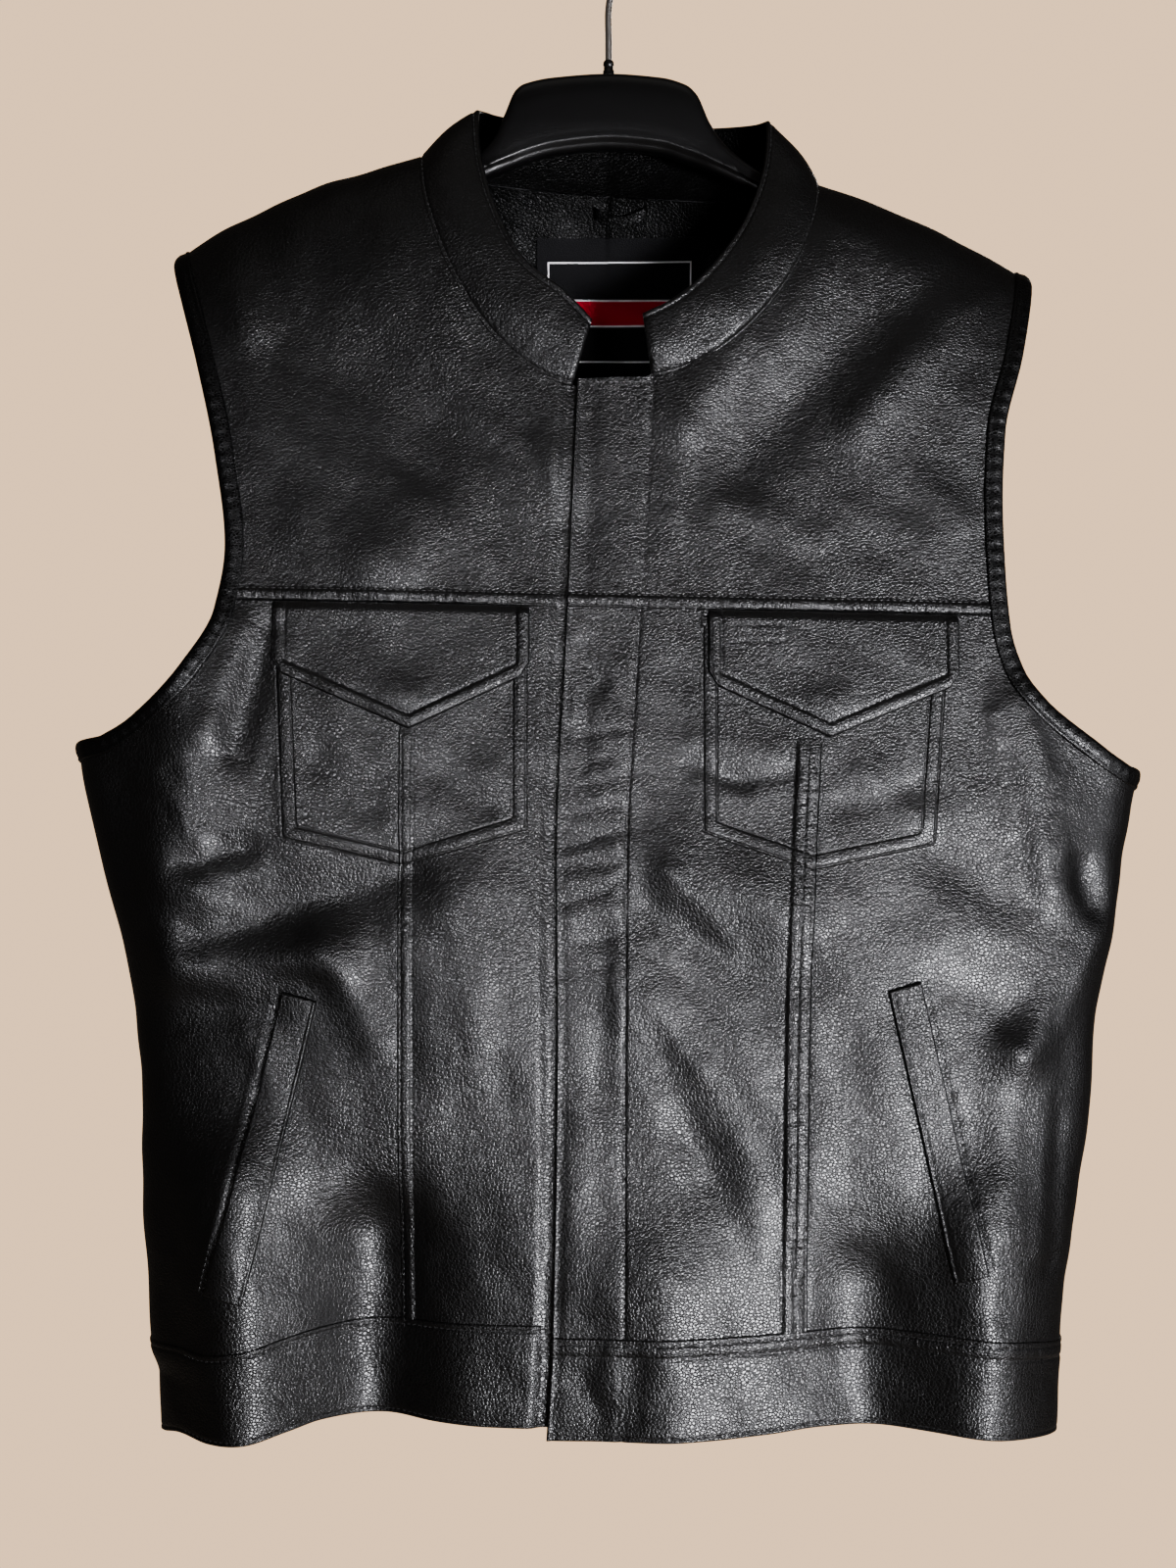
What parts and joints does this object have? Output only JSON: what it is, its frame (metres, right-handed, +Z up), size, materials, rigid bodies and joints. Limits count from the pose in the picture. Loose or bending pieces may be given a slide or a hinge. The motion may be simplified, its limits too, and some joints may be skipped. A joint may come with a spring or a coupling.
{
  "type": "leather vest on a hanger",
  "caption": "Sleeveless leather vest with stand collar, hidden front closing, flapped chest pockets and slanted welt pockets, hung on a broad clothes hanger with a wire hook.",
  "frame": {"origin": "under the crown of the hanger's hook, at the inside of the wire, where a rail carries it", "axes": "+Z up, -Y towards the viewer of the front, +X to the viewer's right, which is the wearer's left"},
  "size_m": [0.5753, 0.1281, 0.8247],
  "materials": {
    "leather": "black pebbled cowhide, satin",
    "leather_trim": "black leather, gathered and rolled, satin",
    "leather_inside": "black leather facing, dull",
    "label_cloth": "woven label, blank but for a plain border and band",
    "hanger_plastic": "black, fine matte texture",
    "hook_steel": "plated steel wire"
  },
  "bodies": {
    "root": {"yoke_right": "leather", "yoke_left": "leather", "front_centre_right": "leather", "front_centre_left": "leather", "front_side_right": "leather", "front_side_left": "leather", "back_panel": "leather", "waistband_front_right": "leather", "waistband_front_left": "leather", "waistband_back": "leather", "collar": "leather", "armhole_binding_right": "leather_trim", "armhole_binding_left": "leather_trim", "pocket_flap_right": "leather", "pocket_flap_left": "leather", "pocket_welt_right": "leather", "pocket_welt_left": "leather", "neck_facing": "leather_inside", "neck_label": "label_cloth", "hanging_loop": "leather_trim", "hanger_body": "hanger_plastic", "hanger_ferrule": "hanger_plastic", "hanger_hook": "hook_steel"}
  },
  "joints": []
}
